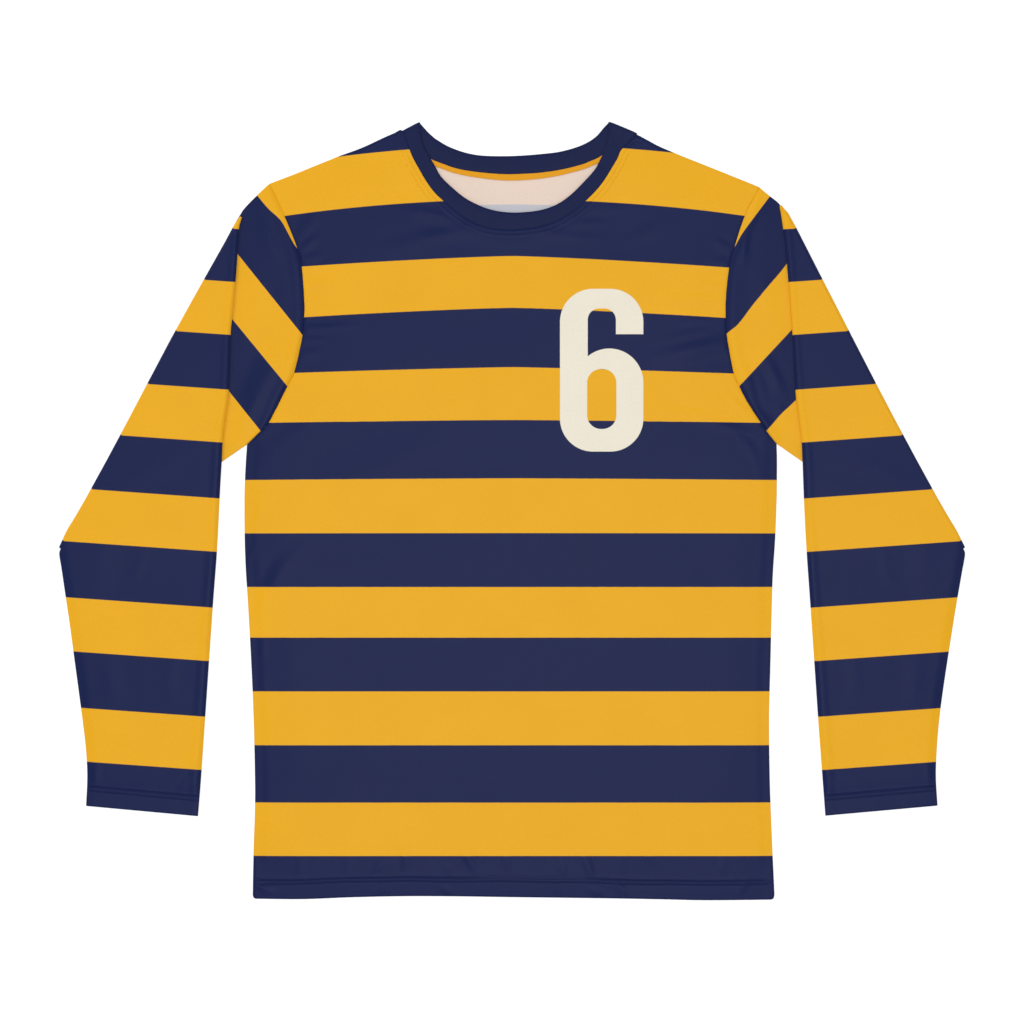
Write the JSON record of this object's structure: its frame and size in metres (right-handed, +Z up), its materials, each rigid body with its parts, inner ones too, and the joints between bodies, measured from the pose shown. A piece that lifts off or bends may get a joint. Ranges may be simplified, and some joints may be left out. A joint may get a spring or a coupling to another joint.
{
  "type": "long-sleeved sports jersey",
  "caption": "Long-sleeved crew-neck sports jersey with cross stripes, laid flat on its back with each sleeve folded over to the front.",
  "frame": {"origin": "on the surface that the jersey lies on, under the middle of its outline", "axes": "+X across the garment, along its width, +Y from the hem to the neck, +Z up, out of the front"},
  "size_m": [0.8926, 0.7668, 0.0051],
  "materials": {
    "body_knit": "soft polyester knit, navy and yellow cross stripes",
    "sleeve_knit": "soft polyester knit, yellow and navy stripes",
    "neck_rib": "navy rib knit, folded double",
    "neck_tape": "yellow knit strip"
  },
  "bodies": {
    "root": {"back_panel": "body_knit", "front_panel": "body_knit", "sleeve_left": "sleeve_knit", "sleeve_right": "sleeve_knit", "neck_band": "neck_rib", "neck_tape": "neck_tape"}
  },
  "joints": []
}
